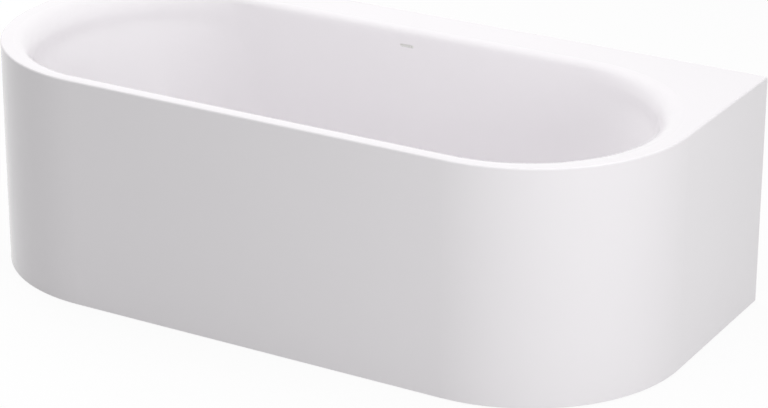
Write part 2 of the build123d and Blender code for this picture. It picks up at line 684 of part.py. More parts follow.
def trap_pipe():
    """The U-bend that holds the water seal, with its cleaning port at the low point."""
    points = [
        (SPIGOT_END_X + PIPE_JOINT_GAP, DRAIN_Y, OUTLET_Z),
        (TRAP_DOWN_X, DRAIN_Y, OUTLET_Z),
        (TRAP_DOWN_X, DRAIN_Y, TRAP_LOW_Z),
        (TRAP_UP_X, DRAIN_Y, TRAP_LOW_Z),
        (TRAP_UP_X, DRAIN_Y, OUTLET_Z),
        (TRAP_END_X, DRAIN_Y, OUTLET_Z),
    ]
    port = Plane(
        origin=((TRAP_DOWN_X + TRAP_UP_X) / 2, DRAIN_Y, TRAP_LOW_Z),
        x_dir=(1, 0, 0),
        z_dir=(0, -1, 0),
    )
    neck = extrude(port * Circle(CLEANING_PORT_RADIUS), CLEANING_PORT_REACH)
    neck_bore = extrude(port * Circle(CLEANING_PORT_RADIUS - PIPE_WALL), CLEANING_PORT_REACH)
    outside = pipe_form(points, TRAP_BEND, PIPE_RADIUS) + neck
    inside = pipe_form(points, TRAP_BEND, PIPE_RADIUS - PIPE_WALL) + neck_bore
    return outside - inside


def cleaning_cap():
    """The screw cap on the trap's cleaning port."""
    x = (TRAP_DOWN_X + TRAP_UP_X) / 2
    face = Plane(
        origin=(x, DRAIN_Y - CLEANING_PORT_REACH, TRAP_LOW_Z), x_dir=(1, 0, 0), z_dir=(0, -1, 0)
    )
    cap = extrude(face * Circle(CLEANING_CAP_RADIUS), CLEANING_CAP_THICKNESS)
    grip = face * Pos(0, 0, CLEANING_CAP_THICKNESS) * Rectangle(CLEANING_GRIP_LENGTH, CLEANING_GRIP_WIDTH)
    cap = chamfer(cap.edges().sort_by(Axis.Y)[0], CLEANING_CAP_CHAMFER)
    return cap + extrude(grip, CLEANING_GRIP_HEIGHT)


def outlet_elbow():
    """The last bend, whose plain end takes the drain's socket near the wall."""
    start = TRAP_END_X + PIPE_JOINT_GAP
    points = [
        (start, DRAIN_Y, OUTLET_Z),
        (OUTLET_TURN_X, DRAIN_Y, OUTLET_Z),
        (OUTLET_TURN_X, DRAIN_Y + OUTLET_REACH, OUTLET_Z),
    ]
    outside = pipe_form(points, OUTLET_BEND, PIPE_RADIUS)
    return outside - pipe_form(points, OUTLET_BEND, PIPE_RADIUS - PIPE_WALL)


def coupling(plane, radius, length):
    """A coupling nut with finger grips, centred on a joint between two tubes."""
    inner = radius + COUPLING_CLEARANCE
    outer = inner + COUPLING_WALL
    nut = extrude(plane * (Circle(outer) - Circle(inner)), length / 2, both=True)
    groove = Circle(outer * pi / COUPLING_GRIPS / 3)
    for i in range(COUPLING_GRIPS):
        place = Rot(0, 0, 360 * i / COUPLING_GRIPS) * Pos(outer, 0, 0)
        nut -= extrude(plane * place * groove, length / 2, both=True)
    return nut


def trap_couplings():
    """The two nuts on the waste pipe's joints."""
    middles = [end + PIPE_JOINT_GAP / 2 for end in (SPIGOT_END_X, TRAP_END_X)]
    planes = [
        Plane(origin=(x, DRAIN_Y, OUTLET_Z), x_dir=(0, 1, 0), z_dir=(1, 0, 0)) for x in middles
    ]
    return [coupling(plane, PIPE_RADIUS, COUPLING_LENGTH) for plane in planes]


def overflow_gasket():
    """The flat gasket between the wall's build-up and the housing."""
    margin = 2 * GASKET_SLOT_MARGIN
    face = RectangleRounded(GASKET_LENGTH, GASKET_HEIGHT, GASKET_CORNER)
    face -= SlotOverall(SLOT_LENGTH + margin, SLOT_WIDTH + margin)
    return overflow_plane() * Pos(0, 0, PAD_BUILD_UP) * extrude(face, GASKET_THICKNESS)


def hose_top():
    """The centre of the overflow housing's spigot end, where the hose starts."""
    lean = radians(BACK_SIDE.lean)
    out = PAD_BUILD_UP + GASKET_THICKNESS + HOUSING_DEPTH / 2
    stand = wall_inset(BACK_SIDE, OVERFLOW_DROP, SKIN, BASIN_DEPTH)
    y = BASIN_BACK - stand + out * cos(lean)
    z = HEIGHT - OVERFLOW_DROP - out * sin(lean)
    return y, z - HOUSING_HEIGHT / 2 - HOSE_SPIGOT_LENGTH + HOSE_SPIGOT_RADIUS


def overflow_housing():
    """The box behind the slot that leads the water down to the hose."""
    face = overflow_plane() * Pos(0, 0, PAD_BUILD_UP + GASKET_THICKNESS)
    flange = extrude(face * RectangleRounded(PAD_LENGTH, GASKET_HEIGHT, SKIN), HOUSING_FLANGE)
    box = extrude(face * RectangleRounded(HOUSING_LENGTH, HOUSING_HEIGHT, HOUSING_CORNER), HOUSING_DEPTH)
    room = RectangleRounded(
        HOUSING_LENGTH - 2 * HOUSING_ROOM_MARGIN,
        HOUSING_HEIGHT - 2 * HOUSING_ROOM_MARGIN,
        HOUSING_CORNER - HOUSING_WALL,
    )
    y, z = hose_top()
    spigot_top = z + HOSE_SPIGOT_LENGTH
    spigot = cylinder(HOSE_SPIGOT_RADIUS, z, spigot_top, y=y)
    bore = cylinder(HOSE_SPIGOT_RADIUS - HOSE_SPIGOT_WALL, z, spigot_top, y=y)
    holes = [
        extrude(face * Pos(x, 0, 0) * Circle(SCREW_RADIUS + BOLT_HOLE_CLEARANCE), HOUSING_FLANGE)
        for x in (-OVERFLOW_SCREW_X, OVERFLOW_SCREW_X)
    ]
    housing = flange + box + spigot
    return housing - extrude(face * room, HOUSING_DEPTH - HOUSING_WALL) - bore - holes


def overflow_screws():
    """The two screws that hold the housing to the wall's build-up."""
    face = overflow_plane() * Pos(0, 0, PAD_BUILD_UP + GASKET_THICKNESS + HOUSING_FLANGE)
    shank = HOUSING_FLANGE + GASKET_THICKNESS + PAD_BUILD_UP - SCREW_END_ROOM
    return group(
        extrude(face * Pos(x, 0, 0) * Circle(SCREW_HEAD_RADIUS), SCREW_HEAD_HEIGHT)
        + extrude(face * Pos(x, 0, 0) * Circle(SCREW_RADIUS), -shank)
        for x in (-OVERFLOW_SCREW_X, OVERFLOW_SCREW_X)
    )


def hose_route():
    """The overflow hose's centre line: down behind the basin, then forward to the waste."""
    top_y, top_z = hose_top()
    end_y = HOSE_END_Y + PIPE_JOINT_GAP
    points = [(0, top_y, top_z - PIPE_JOINT_GAP), (0, top_y, HOSE_Z), (0, end_y, HOSE_Z)]
    return FilletPolyline(*points, radius=HOSE_BEND)


def overflow_hose():
    """The ribbed hose, plain at both ends, as rings of crest and root along its route."""
    route = hose_route()
    length = route.length

    def hoop(distance, radius):
        share = distance / length
        plane = Plane(origin=route @ share, x_dir=(1, 0, 0), z_dir=route % share)
        return plane * Circle(radius)

    def cuff(end, inner):
        return [hoop(distance, HOSE_CUFF_RADIUS) for distance in (end, inner)]

    first = HOSE_CUFF_LENGTH + HOSE_CUFF_TAPER
    ribs = int((length - 2 * first) / HOSE_RIB_PITCH)
    pitch = (length - 2 * first) / ribs
    rib = [
        (HOSE_RIB_FLANK, HOSE_ROOT),
        (HOSE_RIB_TOP, HOSE_CREST),
        (1 - HOSE_RIB_TOP, HOSE_CREST),
        (1 - HOSE_RIB_FLANK, HOSE_ROOT),
    ]
    hoops = cuff(0, HOSE_CUFF_LENGTH)
    for i in range(ribs):
        hoops += [hoop(first + (i + share) * pitch, radius) for share, radius in rib]
    hoops += cuff(length - HOSE_CUFF_LENGTH, length)
    start = Plane(origin=route @ 0, x_dir=(1, 0, 0), z_dir=route % 0)
    return loft(hoops, ruled=True) - sweep(start * Circle(HOSE_BORE), path=route)


def hose_couplings():
    """The two nuts on the hose's ends."""
    top_y, top_z = hose_top()
    top = Plane(origin=(0, top_y, top_z - PIPE_JOINT_GAP / 2))
    foot_y = HOSE_END_Y + PIPE_JOINT_GAP / 2
    foot = Plane(origin=(0, foot_y, HOSE_Z), x_dir=(1, 0, 0), z_dir=(0, 1, 0))
    return [coupling(plane, HOSE_SPIGOT_RADIUS, COUPLING_LENGTH) for plane in (top, foot)]


def build():
    """Every sub-part by name."""
    trap_inlet, trap_outlet = trap_couplings()
    hose_upper, hose_lower = hose_couplings()
    bracket_low = DECK_UNDERSIDE - BACK_BATTEN_HEIGHT - BRACKET_GAUGE
    parts = {
        "tub_shell": tub_shell(),
        "outer_skirt": skirt(),
        "rim_batten_front": front_batten(),
        "rim_batten_back": back_batten(),
        "rim_batten_left": side_batten(-1),
        "rim_batten_right": side_batten(1),
        "base_board": base_board(),
        "leg_rail_left": leg_rail(-1),
        "leg_rail_right": leg_rail(1),
        "rail_screws": screws(rail_screw_places(), RAIL_UNDERWEB, SCREW_BITE + RAIL_GAUGE),
        "rail_weld_nuts": foot_nuts(RAIL_UNDERWEB),
        "foot_lock_nuts": foot_nuts(RAIL_UNDERWEB - NUT_HEIGHT),
        "wall_bracket_left": wall_bracket(-1),
        "wall_bracket_right": wall_bracket(1),
        "wall_bracket_screws": screws(
            wall_bracket_screws(), bracket_low, SCREW_BITE + BRACKET_GAUGE
        ),
        "skirt_bracket_left": skirt_bracket(-1),
        "skirt_bracket_right": skirt_bracket(1),
        "skirt_bracket_bolts": skirt_bolts(),
        "skirt_bracket_nuts": skirt_nuts(),
        "waste_flange": waste_flange(),
        "waste_upper_seal": waste_upper_seal(),
        "waste_lower_seal": waste_lower_seal(),
        "waste_body": waste_body(),
        "waste_bolt": waste_bolt(),
        "plug_cap": plug_cap(),
        "plug_seal": plug_seal(),
        "plug_stem": plug_stem(),
        "trap_pipe": trap_pipe(),
        "trap_inlet_nut": trap_inlet,
        "trap_outlet_nut": trap_outlet,
        "trap_cleaning_cap": cleaning_cap(),
        "outlet_elbow": outlet_elbow(),
        "overflow_gasket": overflow_gasket(),
        "overflow_housing": overflow_housing(),
        "overflow_screws": overflow_screws(),
        "overflow_hose": overflow_hose(),
        "hose_nut_upper": hose_upper,
        "hose_nut_lower": hose_lower,
    }
    for corner, (x, y) in FEET.items():
        parts[f"foot_pad_{corner}"] = foot_pad(x, y)
        parts[f"foot_stud_{corner}"] = foot_stud(x, y)
    return parts


os.makedirs("parts", exist_ok=True)
for name, shape in build().items():
    export_step(shape, f"parts/{name}.step")
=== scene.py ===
import json
from math import cos, pi, radians, sin, sqrt

import bpy
from mathutils import Matrix, Vector


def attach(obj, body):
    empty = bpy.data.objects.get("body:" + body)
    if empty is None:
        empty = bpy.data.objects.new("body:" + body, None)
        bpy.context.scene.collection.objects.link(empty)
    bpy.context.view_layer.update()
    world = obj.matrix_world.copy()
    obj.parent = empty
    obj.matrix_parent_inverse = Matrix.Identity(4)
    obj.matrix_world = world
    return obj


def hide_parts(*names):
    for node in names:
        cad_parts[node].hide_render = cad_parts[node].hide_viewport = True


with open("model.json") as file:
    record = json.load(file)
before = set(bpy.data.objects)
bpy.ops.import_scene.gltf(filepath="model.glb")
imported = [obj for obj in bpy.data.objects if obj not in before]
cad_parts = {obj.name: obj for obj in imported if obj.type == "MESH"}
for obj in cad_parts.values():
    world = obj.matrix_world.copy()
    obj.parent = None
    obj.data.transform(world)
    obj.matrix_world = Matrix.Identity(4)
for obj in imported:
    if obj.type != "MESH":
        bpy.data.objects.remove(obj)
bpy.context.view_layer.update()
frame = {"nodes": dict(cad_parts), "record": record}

bl_info = {
    "name": "Back-to-wall bath",
    "version": (1, 0, 0),
    "blender": (4, 5, 0),
    "location": "View3D > Sidebar > Bath",
    "description": "Finishes, small fittings and studio for a back-to-wall bath",
    "category": "Object",
}

MM = 0.001
FEET = ("front_left", "front_right", "back_left", "back_right")
FLOOR_REACH = 30.0
FLOOR_WHITE = (0.92, 0.92, 0.92, 1.0)
FLOOR_GLOW = 0.89
WHITE = (1.0, 1.0, 1.0, 1.0)

# Edges that turn by more than this stay crisp
CRISP_EDGE = radians(25.0)
FACETS_ROUND_A_NUT = 72
FACETS_ROUND_A_SCREW = 32
FACETS_ROUND_A_THREAD = 24
RINGS_IN_A_THREAD_TURN = 6
RINGS_ON_A_SCREW_HEAD = 6
STEPS_ALONG_A_BAR = 8

# A nut's turned end against its flats, and the rise of the chamfer for each step outwards
TURNED_SHARE = 0.985
CHAMFER_RISE = 0.5

# How far a thread's flanks are steepened, which leaves its crest flat
FLANK_STEEPNESS = 1.25

# A screw's blunt tip against its shank
TIP_SHARE = 0.3

# How far the grille's end bars reach into the slot's round ends
GRILLE_END_SHARE = 0.95

# Each softbox: its setting, its size, its place and the point that it faces
SOFTBOXES = (
    ("overhead", (4.0, 3.0), (0.0, 0.0, 2.6), (0.0, 0.0, 0.5)),
    ("side", (2.5, 1.8), (4.33, -2.5, 1.0), (0.0, 0.0, 0.4)),
    ("strip", (0.8, 1.8), (2.13, -1.49, 1.0), (0.0, 0.0, 0.4)),
    ("back", (2.5, 1.8), (-3.76, 1.37, 2.2), (0.0, 0.0, 0.4)),
)

# The record's slot of each sub-part, and the name of the finish made for each slot
SLOT_OF = {part["node"]: part["material_slot"] for part in frame["record"]["subparts"]}
FINISH_NAMES = {}


class BathStudioSettings(bpy.types.PropertyGroup):
    """Camera, floor and lamps."""

    lens: bpy.props.FloatProperty(
        name="Lens", description="Focal length on a 36 mm sensor", default=129.56, unit="CAMERA"
    )
    shift_x: bpy.props.FloatProperty(
        name="Shift across", description="The frame's offset to the right", default=0.0245
    )
    shift_y: bpy.props.FloatProperty(
        name="Shift up", description="The frame's offset upwards", default=-0.0837
    )
    place: bpy.props.FloatVectorProperty(
        name="Camera place",
        description="Where the camera stands",
        default=(3.178, -5.311, 2.758),
        subtype="TRANSLATION",
    )
    azimuth: bpy.props.FloatProperty(
        name="Azimuth", description="Camera's turn", default=radians(30.45), subtype="ANGLE"
    )
    elevation: bpy.props.FloatProperty(
        name="Elevation", description="Camera's dip", default=radians(20.995), subtype="ANGLE"
    )
    world_light: bpy.props.FloatProperty(
        name="Room light", description="Even light from all round", default=0.62
    )
    overhead: bpy.props.FloatProperty(
        name="Overhead softbox", description="Power of the softbox above", default=34.0
    )
    side: bpy.props.FloatProperty(
        name="Side softbox", description="Power of the softbox at the front right", default=48.6
    )
    strip: bpy.props.FloatProperty(
        name="Strip softbox", description="Power of the narrow softbox by the right corner", default=8.6
    )
    back: bpy.props.FloatProperty(
        name="Back softbox", description="Power of the softbox behind on the left", default=43.0
    )
    floor_colour: bpy.props.FloatVectorProperty(
        name="Floor",
        description="Floor's colour in the light it throws back",
        default=(0.42, 0.42, 0.42),
        subtype="COLOR",
    )


class BathFinishSettings(bpy.types.PropertyGroup):
    """Colours of the finishes."""

    acrylic: bpy.props.FloatVectorProperty(
        name="Acrylic", description="Sanitary white", default=(0.84, 0.818, 0.84), subtype="COLOR"
    )
    laminate: bpy.props.FloatVectorProperty(
        name="Laminate", description="Glass-fibre backing", default=(0.62, 0.6, 0.5), subtype="COLOR"
    )
    softwood: bpy.props.FloatVectorProperty(
        name="Softwood", description="Rim battens", default=(0.55, 0.36, 0.17), subtype="COLOR"
    )
    chipboard: bpy.props.FloatVectorProperty(
        name="Chipboard", description="Base board", default=(0.42, 0.27, 0.12), subtype="COLOR"
    )
    zinc: bpy.props.FloatVectorProperty(
        name="Zinc plate", description="Rails and brackets", default=(0.52, 0.54, 0.56), subtype="COLOR"
    )
    brass: bpy.props.FloatVectorProperty(
        name="Brass", description="Waste bolt and stem", default=(0.62, 0.42, 0.16), subtype="COLOR"
    )
    chrome: bpy.props.FloatVectorProperty(
        name="Chrome", description="Plug and flange", default=(0.72, 0.73, 0.75), subtype="COLOR"
    )
    rubber: bpy.props.FloatVectorProperty(
        name="Rubber", description="Seals", default=(0.025, 0.025, 0.026), subtype="COLOR"
    )
    white_plastic: bpy.props.FloatVectorProperty(
        name="White plastic", description="Trap and housing", default=(0.74, 0.74, 0.72), subtype="COLOR"
    )
    grey_plastic: bpy.props.FloatVectorProperty(
        name="Grey plastic", description="Coupling nuts", default=(0.13, 0.135, 0.145), subtype="COLOR"
    )
    black_plastic: bpy.props.FloatVectorProperty(
        name="Black plastic", description="Foot pads", default=(0.03, 0.03, 0.032), subtype="COLOR"
    )


class BathFittingSettings(bpy.types.PropertyGroup):
    """Sizes of the small fittings."""

    thread_pitch: bpy.props.FloatProperty(
        name="Thread pitch", description="Rise of a foot's thread in a turn", default=1.5 * MM, unit="LENGTH"
    )
    thread_depth: bpy.props.FloatProperty(
        name="Thread depth", description="From a thread's crest to its root", default=0.8 * MM, unit="LENGTH"
    )
    thread_gap: bpy.props.FloatProperty(
        name="Thread gap",
        description="Between a thread's crest and its nut",
        default=0.05 * MM,
        unit="LENGTH",
    )
    stud_radius: bpy.props.FloatProperty(
        name="Stud radius", description="Outer radius of a foot's thread", default=5.0 * MM, unit="LENGTH"
    )
    head_height: bpy.props.FloatProperty(
        name="Head height", description="Height of a stud's hexagonal head", default=7.0 * MM, unit="LENGTH"
    )
    nut_flats: bpy.props.FloatProperty(
        name="Foot nut", description="Across the flats of a foot's nut", default=17.0 * MM, unit="LENGTH"
    )
    bracket_nut_flats: bpy.props.FloatProperty(
        name="Bracket nut", description="Across a bracket nut's flats", default=10.0 * MM, unit="LENGTH"
    )
    bracket_bolt_radius: bpy.props.FloatProperty(
        name="Bracket bolt", description="Radius of a bracket's bolt", default=3.0 * MM, unit="LENGTH"
    )
    screw_radius: bpy.props.FloatProperty(
        name="Screw shank", description="Radius of a screw's shank", default=2.0 * MM, unit="LENGTH"
    )
    screw_head: bpy.props.FloatProperty(
        name="Screw head", description="Height of a screw's head", default=3.0 * MM, unit="LENGTH"
    )
    recess_length: bpy.props.FloatProperty(
        name="Recess length", description="Length of the cross recess", default=5.0 * MM, unit="LENGTH"
    )
    recess_depth: bpy.props.FloatProperty(
        name="Recess depth", description="Depth of the cross recess", default=1.8 * MM, unit="LENGTH"
    )
    recess_width: bpy.props.FloatProperty(
        name="Recess width", description="Width of the recess's arms", default=1.1 * MM, unit="LENGTH"
    )
    slot_length: bpy.props.FloatProperty(
        name="Slot length", description="Length of the overflow slot", default=38.0 * MM, unit="LENGTH"
    )
    slot_width: bpy.props.FloatProperty(
        name="Slot width", description="Height of the overflow slot", default=7.0 * MM, unit="LENGTH"
    )
    slot_lean: bpy.props.FloatProperty(
        name="Wall lean", description="Lean of the basin's back wall", default=radians(8.0), subtype="ANGLE"
    )
    slot_depth: bpy.props.FloatProperty(
        name="Slot depth",
        description="From the gasket's middle to the basin's face",
        default=13.5 * MM,
        unit="LENGTH",
    )
    grille_setback: bpy.props.FloatProperty(
        name="Grille setback",
        description="From the basin's face to the grille",
        default=1.0 * MM,
        unit="LENGTH",
    )
    grille_thickness: bpy.props.FloatProperty(
        name="Grille thickness",
        description="Thickness of the grille's bars",
        default=1.5 * MM,
        unit="LENGTH",
    )
    grille_clearance: bpy.props.FloatProperty(
        name="Grille clearance",
        description="Between the grille and the slot's edge",
        default=0.1 * MM,
        unit="LENGTH",
    )
    grille_gap: bpy.props.FloatProperty(
        name="Grille gap", description="Between two bars of the grille", default=0.8 * MM, unit="LENGTH"
    )
    grille_bars: bpy.props.IntProperty(name="Grille bars", description="Bars across the slot", default=6)


class NodeChain:
    """A small hand for placing and joining shader nodes."""

    def __init__(self, tree):
        self.tree = tree

    def add(self, kind, **values):
        """A new node with some of its values set."""
        node = self.tree.nodes.new(kind)
        for name, value in values.items():
            setattr(node, name, value)
        return node

    def join(self, source, target):
        """A link from one socket to another."""
        self.tree.links.new(source, target)


def new_group(name, inputs, outputs):
    """An empty shader group with named sockets; its input and output nodes and its hand."""
    tree = bpy.data.node_groups.new(name, "ShaderNodeTree")
    for label, kind, default in inputs:
        socket = tree.interface.new_socket(label, in_out="INPUT", socket_type=kind)
        socket.default_value = default
    for label, kind in outputs:
        tree.interface.new_socket(label, in_out="OUTPUT", socket_type=kind)
    hand = NodeChain(tree)
    return tree, hand, hand.add("NodeGroupInput"), hand.add("NodeGroupOutput")


def make_surface_noise_group():
    """Roughness and height that wander over a surface, from object coordinates."""
    tree, hand, source, result = new_group(
        "surface_wander",
        [
            ("Scale", "NodeSocketFloat", 40.0),
            ("Low", "NodeSocketFloat", 0.1),
            ("High", "NodeSocketFloat", 0.2),
        ],
        [("Roughness", "NodeSocketFloat"), ("Height", "NodeSocketFloat")],
    )
    place = hand.add("ShaderNodeTexCoord")
    noise = hand.add("ShaderNodeTexNoise", noise_dimensions="3D")
    noise.inputs["Detail"].default_value = 4.0
    spread = hand.add("ShaderNodeMapRange")
    spread.inputs["From Min"].default_value = 0.3
    spread.inputs["From Max"].default_value = 0.7
    hand.join(place.outputs["Object"], noise.inputs["Vector"])
    hand.join(source.outputs["Scale"], noise.inputs["Scale"])
    hand.join(noise.outputs["Fac"], spread.inputs["Value"])
    hand.join(source.outputs["Low"], spread.inputs["To Min"])
    hand.join(source.outputs["High"], spread.inputs["To Max"])
    hand.join(spread.outputs["Result"], result.inputs["Roughness"])
    hand.join(noise.outputs["Fac"], result.inputs["Height"])
    return tree


def make_tone_group():
    """A colour that drifts between a darker and a lighter tone of itself."""
    tree, hand, source, result = new_group(
        "tone_drift",
        [
            ("Colour", "NodeSocketColor", (0.8, 0.8, 0.8, 1.0)),
            ("Scale", "NodeSocketFloat", 8.0),
            ("Drift", "NodeSocketFloat", 0.1),
        ],
        [("Colour", "NodeSocketColor")],
    )
    place = hand.add("ShaderNodeTexCoord")
    noise = hand.add("ShaderNodeTexNoise", noise_dimensions="3D")
    noise.inputs["Detail"].default_value = 5.0
    low = hand.add("ShaderNodeMath", operation="SUBTRACT")
    low.inputs[0].default_value = 1.0
    high = hand.add("ShaderNodeMath", operation="ADD")
    high.inputs[0].default_value = 1.0
    spread = hand.add("ShaderNodeMapRange")
    spread.inputs["From Min"].default_value = 0.25
    spread.inputs["From Max"].default_value = 0.75
    tone = hand.add("ShaderNodeHueSaturation")
    hand.join(place.outputs["Object"], noise.inputs["Vector"])
    hand.join(source.outputs["Scale"], noise.inputs["Scale"])
    hand.join(source.outputs["Drift"], low.inputs[1])
    hand.join(source.outputs["Drift"], high.inputs[1])
    hand.join(noise.outputs["Fac"], spread.inputs["Value"])
    hand.join(low.outputs[0], spread.inputs["To Min"])
    hand.join(high.outputs[0], spread.inputs["To Max"])
    hand.join(spread.outputs["Result"], tone.inputs["Value"])
    hand.join(source.outputs["Colour"], tone.inputs["Color"])
    hand.join(tone.outputs["Color"], result.inputs["Colour"])
    return tree


def make_fibre_group():
    """Chopped strands of glass fibre: short crossing streaks as a value."""
    tree, hand, source, result = new_group(
        "chopped_strands",
        [("Scale", "NodeSocketFloat", 60.0)],
        [("Strands", "NodeSocketFloat")],
    )
    place = hand.add("ShaderNodeTexCoord")
    layers = []
    for turn in (20.0, 75.0, 140.0):
        mapping = hand.add("ShaderNodeMapping")
        mapping.inputs["Rotation"].default_value = (radians(turn), radians(turn / 2), radians(turn))
        mapping.inputs["Scale"].default_value = (1.0, 7.0, 7.0)
        noise = hand.add("ShaderNodeTexNoise", noise_dimensions="3D")
        noise.inputs["Detail"].default_value = 3.0
        ridge = hand.add("ShaderNodeMapRange")
        ridge.inputs["From Min"].default_value = 0.5
        ridge.inputs["From Max"].default_value = 0.66
        hand.join(place.outputs["Object"], mapping.inputs["Vector"])
        hand.join(mapping.outputs["Vector"], noise.inputs["Vector"])
        hand.join(source.outputs["Scale"], noise.inputs["Scale"])
        hand.join(noise.outputs["Fac"], ridge.inputs["Value"])
        layers.append(ridge.outputs["Result"])
    first = hand.add("ShaderNodeMath", operation="MAXIMUM")
    both = hand.add("ShaderNodeMath", operation="MAXIMUM")
    hand.join(layers[0], first.inputs[0])
    hand.join(layers[1], first.inputs[1])
    hand.join(first.outputs[0], both.inputs[0])
    hand.join(layers[2], both.inputs[1])
    hand.join(both.outputs[0], result.inputs["Strands"])
    return tree


def group_named(name, make):
    """The shader group of that name, made once."""
    return bpy.data.node_groups.get(name) or make()


def start_material(name, colour):
    """A material with its Principled shader, seen the same in the solid view."""
    material = bpy.data.materials.new(name)
    material.use_nodes = True
    material.diffuse_color = (*colour, 1.0)
    shader = material.node_tree.nodes["Principled BSDF"]
    shader.inputs["Base Color"].default_value = (*colour, 1.0)
    return material, NodeChain(material.node_tree), shader


def add_group(hand, name, make, **values):
    """Places a shader group with its own values."""
    node = hand.add("ShaderNodeGroup", node_tree=group_named(name, make))
    for label, value in values.items():
        node.inputs[label].default_value = value
    return node


def add_bump(hand, shader, height, strength, distance):
    """Feeds a height into the shader's normal."""
    bump = hand.add("ShaderNodeBump")
    bump.inputs["Strength"].default_value = strength
    bump.inputs["Distance"].default_value = distance
    hand.join(height, bump.inputs["Height"])
    hand.join(bump.outputs["Normal"], shader.inputs["Normal"])


def backing_mask(hand, inside_is_back):
    """One where a surface is the laminated back of the acrylic, nought on its face."""
    geometry = hand.add("ShaderNodeNewGeometry")
    if inside_is_back:
        turn = hand.add("ShaderNodeVectorMath", operation="MULTIPLY")
        turn.inputs[1].default_value = (1.0, 1.0, 0.0)
        facing = hand.add("ShaderNodeVectorMath", operation="DOT_PRODUCT")
        hand.join(geometry.outputs["Position"], turn.inputs[0])
        hand.join(turn.outputs["Vector"], facing.inputs[0])
        hand.join(geometry.outputs["True Normal"], facing.inputs[1])
        value = facing.outputs["Value"]
    else:
        split = hand.add("ShaderNodeSeparateXYZ")
        hand.join(geometry.outputs["True Normal"], split.inputs["Vector"])
        value = split.outputs["Z"]
    mask = hand.add("ShaderNodeMapRange")
    mask.inputs["From Min"].default_value = -0.03
    mask.inputs["From Max"].default_value = -0.05
    hand.join(value, mask.inputs["Value"])
    return mask.outputs["Result"]


def acrylic_material(name, finish, inside_is_back):
    """Gloss sanitary acrylic on the face, glass-fibre laminate on the back."""
    material, hand, shader = start_material(name, finish.acrylic)
    tone = add_group(hand, "tone_drift", make_tone_group, Scale=3.0, Drift=0.006)
    tone.inputs["Colour"].default_value = (*finish.acrylic, 1.0)
    wander = add_group(hand, "surface_wander", make_surface_noise_group, Scale=14.0, Low=0.13, High=0.19)
    strands = add_group(hand, "chopped_strands", make_fibre_group, Scale=28.0)
    fibre = hand.add("ShaderNodeMix", data_type="RGBA")
    fibre.inputs["A"].default_value = (*finish.laminate, 1.0)
    fibre.inputs["B"].default_value = tuple(min(1.0, 1.25 * c) for c in finish.laminate) + (1.0,)
    mask = backing_mask(hand, inside_is_back)
    colour = hand.add("ShaderNodeMix", data_type="RGBA")
    rough = hand.add("ShaderNodeMix", data_type="FLOAT")
    rough.inputs["B"].default_value = 0.42
    height = hand.add("ShaderNodeMath", operation="MULTIPLY")
    hand.join(strands.outputs["Strands"], fibre.inputs["Factor"])
    hand.join(mask, colour.inputs["Factor"])
    hand.join(tone.outputs["Colour"], colour.inputs["A"])
    hand.join(fibre.outputs["Result"], colour.inputs["B"])
    hand.join(mask, rough.inputs["Factor"])
    hand.join(wander.outputs["Roughness"], rough.inputs["A"])
    hand.join(mask, height.inputs[0])
    hand.join(strands.outputs["Strands"], height.inputs[1])
    hand.join(colour.outputs["Result"], shader.inputs["Base Color"])
    hand.join(rough.outputs["Result"], shader.inputs["Roughness"])
    add_bump(hand, shader, height.outputs[0], 0.5, 0.4 * MM)
    shader.inputs["IOR"].default_value = 1.49
    return material


def plain_material(name, colour, low, high, metallic=0.0, scale=60.0, drift=0.05, bump=0.15):
    """A moulded, rubber or metal surface with drifting tone, roughness and fine relief."""
    material, hand, shader = start_material(name, colour)
    tone = add_group(hand, "tone_drift", make_tone_group, Scale=scale / 6, Drift=drift)
    tone.inputs["Colour"].default_value = (*colour, 1.0)
    wander = add_group(hand, "surface_wander", make_surface_noise_group, Scale=scale, Low=low, High=high)
    hand.join(tone.outputs["Colour"], shader.inputs["Base Color"])
    hand.join(wander.outputs["Roughness"], shader.inputs["Roughness"])
    add_bump(hand, shader, wander.outputs["Height"], bump, 0.2 * MM)
    shader.inputs["Metallic"].default_value = metallic
    return material


def spangle_material(name, colour):
    """Zinc-plated steel with its patchwork of crystals."""
    material, hand, shader = start_material(name, colour)
    place = hand.add("ShaderNodeTexCoord")
    cells = hand.add("ShaderNodeTexVoronoi", voronoi_dimensions="3D", feature="F1")
    cells.inputs["Scale"].default_value = 90.0
    grey = hand.add("ShaderNodeSeparateColor")
    shade = hand.add("ShaderNodeMapRange")
    shade.inputs["To Min"].default_value = 0.92
    shade.inputs["To Max"].default_value = 1.08
    tone = hand.add("ShaderNodeHueSaturation")
    tone.inputs["Color"].default_value = (*colour, 1.0)
    rough = hand.add("ShaderNodeMapRange")
    rough.inputs["To Min"].default_value = 0.3
    rough.inputs["To Max"].default_value = 0.46
    hand.join(place.outputs["Object"], cells.inputs["Vector"])
    hand.join(cells.outputs["Color"], grey.inputs["Color"])
    hand.join(grey.outputs["Red"], shade.inputs["Value"])
    hand.join(shade.outputs["Result"], tone.inputs["Value"])
    hand.join(grey.outputs["Green"], rough.inputs["Value"])
    hand.join(tone.outputs["Color"], shader.inputs["Base Color"])
    hand.join(rough.outputs["Result"], shader.inputs["Roughness"])
    shader.inputs["Metallic"].default_value = 1.0
    return material


